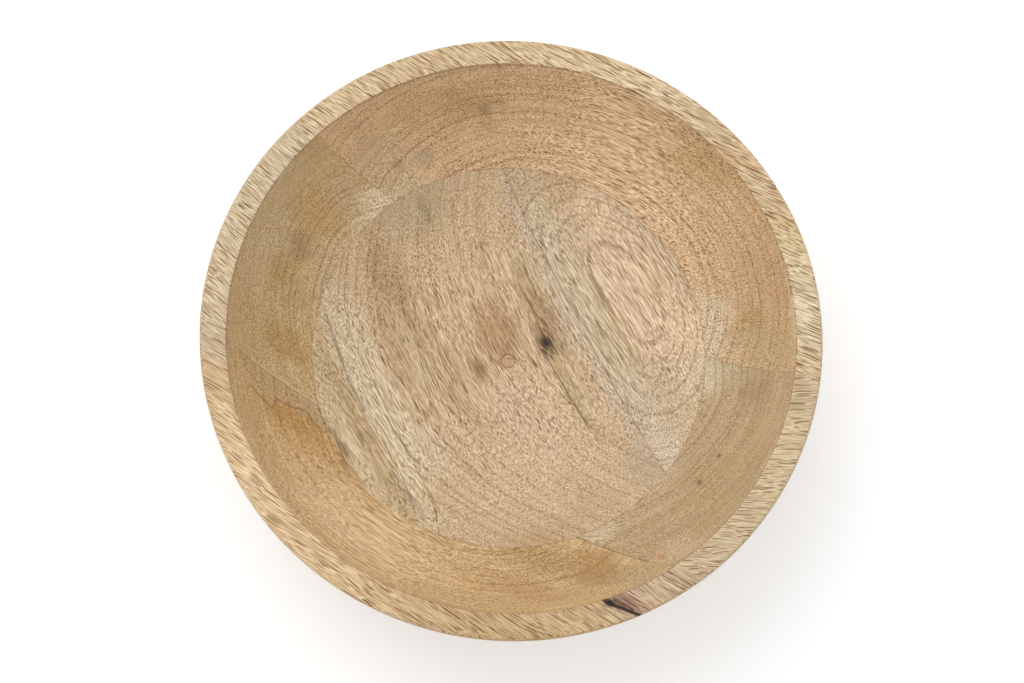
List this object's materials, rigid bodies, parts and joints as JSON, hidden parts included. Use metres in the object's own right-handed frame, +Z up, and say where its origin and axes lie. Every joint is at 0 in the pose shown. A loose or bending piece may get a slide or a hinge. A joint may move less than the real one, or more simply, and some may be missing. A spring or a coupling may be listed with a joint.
{
  "type": "dough bowl",
  "caption": "Round turned wooden dough bowl with a flat rim, a dished hollow and a flat foot, glued up from boards in two crossed slabs.",
  "frame": {"origin": "middle of the foot's flat face, on the turning axis", "axes": "+Z up the turning axis towards the rim, +X along the grain of the wall boards"},
  "size_m": [0.3, 0.3, 0.075],
  "materials": {
    "wall_wood": "oiled, sanded mango wood",
    "base_wood": "oiled, sanded mango wood",
    "plug_wood": "oiled dowel end"
  },
  "bodies": {
    "root": {"wall_board_back": "wall_wood", "wall_board_front": "wall_wood", "wall_block_left": "wall_wood", "wall_block_right": "wall_wood", "base_board_back": "base_wood", "base_board_middle": "base_wood", "base_board_front": "base_wood", "centre_plug": "plug_wood"}
  },
  "joints": []
}
